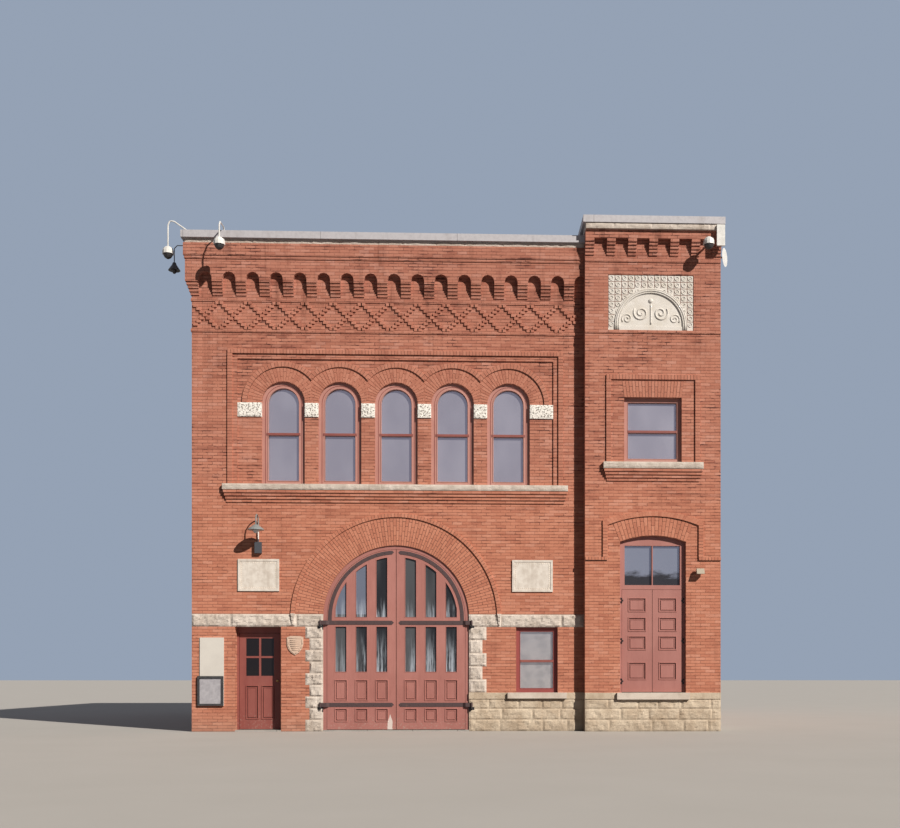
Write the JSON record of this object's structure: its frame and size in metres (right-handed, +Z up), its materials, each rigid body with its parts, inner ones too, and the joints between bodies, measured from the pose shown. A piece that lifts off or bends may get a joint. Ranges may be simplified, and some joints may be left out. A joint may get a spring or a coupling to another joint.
{
  "type": "fire station building",
  "caption": "Two-storey brick fire station with an arched engine door, an entry door, arched upper windows, a corbelled cornice and a corner tower with its own double door.",
  "frame": {"origin": "on the ground in the middle of the main block's plan", "axes": "+X to the right along the front, +Y into the building, +Z up"},
  "size_m": [12.6225, 15.85, 11.357],
  "materials": {
    "brick": "pressed red brick in thin dark joints, matte",
    "stone": "rock-faced cream sandstone, rough",
    "terracotta": "moulded cream tiles, satin glaze",
    "tablet": "painted pale field with a raised border, satin",
    "concrete": "trowelled concrete, worn",
    "floor_boards": "bare pine boards, worn",
    "roofing": "black roofing sheet, matte",
    "coping": "light grey painted sheet metal",
    "door_paint": "dull maroon paint on wood, weathered",
    "glass": "clear window glass",
    "blind": "lavender grey blind",
    "black_frame": "black paint, satin",
    "lamp_enamel": "pale enamel",
    "black_iron": "black painted iron",
    "strap_iron": "dark grey painted iron",
    "brass": "dull brass"
  },
  "bodies": {
    "building": {"front_wall_left": "brick", "front_wall_middle": "brick", "front_wall_right": "brick", "arch_wall": "brick", "upper_front_wall": "brick", "front_cornice": "brick", "left_cornice": "brick", "left_wall": "brick", "right_wall": "brick", "right_base": "stone", "back_wall": "brick", "tower_jambs": "brick", "tower_middle_wall": "brick", "tower_upper_wall": "brick", "tower_corbel_table": "brick", "tower_parapet": "brick", "base_stones": "stone", "belt_stones": "stone", "quoins": "stone", "stone_sills": "stone", "impost_stones": "stone", "frieze_stones": "stone", "raised_labels": "brick", "arch_label": "brick", "tower_plaque": "terracotta", "wall_tablets": "tablet", "ground_floor": "concrete", "tower_floor": "concrete", "upper_floor": "floor_boards", "main_roof": "roofing", "tower_roof": "roofing", "main_coping": "coping", "tower_coping": "coping", "door_arch_frame": "door_paint", "entry_door_frame": "door_paint", "tower_door_frame": "door_paint", "front_window_frames": "door_paint", "front_window_glass": "glass", "window_blinds": "blind", "plain_window_frames": "door_paint", "plain_window_glass": "glass", "notice_boards": "black_frame", "wall_lamp": "lamp_enamel", "wall_cameras": "lamp_enamel", "camera_bowls": "black_frame", "door_pintles": "black_iron", "fixed_hinges": "black_iron"},
    "entry_door": {"entry_door_leaf": "door_paint", "entry_door_glass": "glass", "entry_door_hardware": "brass"},
    "apparatus_door_left": {"apparatus_left_leaf": "door_paint", "apparatus_left_glass": "glass", "apparatus_left_ironwork": "strap_iron"},
    "apparatus_door_right": {"apparatus_right_leaf": "door_paint", "apparatus_right_glass": "glass", "apparatus_right_ironwork": "strap_iron"},
    "tower_door_left": {"tower_door_left_leaf": "door_paint", "tower_door_left_hardware": "black_iron"},
    "tower_door_right": {"tower_door_right_leaf": "door_paint", "tower_door_right_hardware": "black_iron"}
  },
  "joints": [
    {"name": "entry_door_hinge", "type": "hinge", "parent": "building", "child": "entry_door", "pos_m": [-4.8595, -7.197, 1.1], "axis": [0, 0, 1], "range_deg": [0, 90]},
    {"name": "apparatus_door_left_hinge", "type": "hinge", "parent": "building", "child": "apparatus_door_left", "pos_m": [-3.031, -7.55, 1.5], "axis": [0, 0, -1], "range_deg": [0, 100]},
    {"name": "apparatus_door_right_hinge", "type": "hinge", "parent": "building", "child": "apparatus_door_right", "pos_m": [0.321, -7.55, 1.5], "axis": [0, 0, 1], "range_deg": [0, 100]},
    {"name": "tower_door_left_hinge", "type": "hinge", "parent": "building", "child": "tower_door_left", "pos_m": [3.6585, -7.659, 2], "axis": [0, 0, -1], "range_deg": [0, 95]},
    {"name": "tower_door_right_hinge", "type": "hinge", "parent": "building", "child": "tower_door_right", "pos_m": [5.0225, -7.659, 2], "axis": [0, 0, 1], "range_deg": [0, 95]}
  ]
}
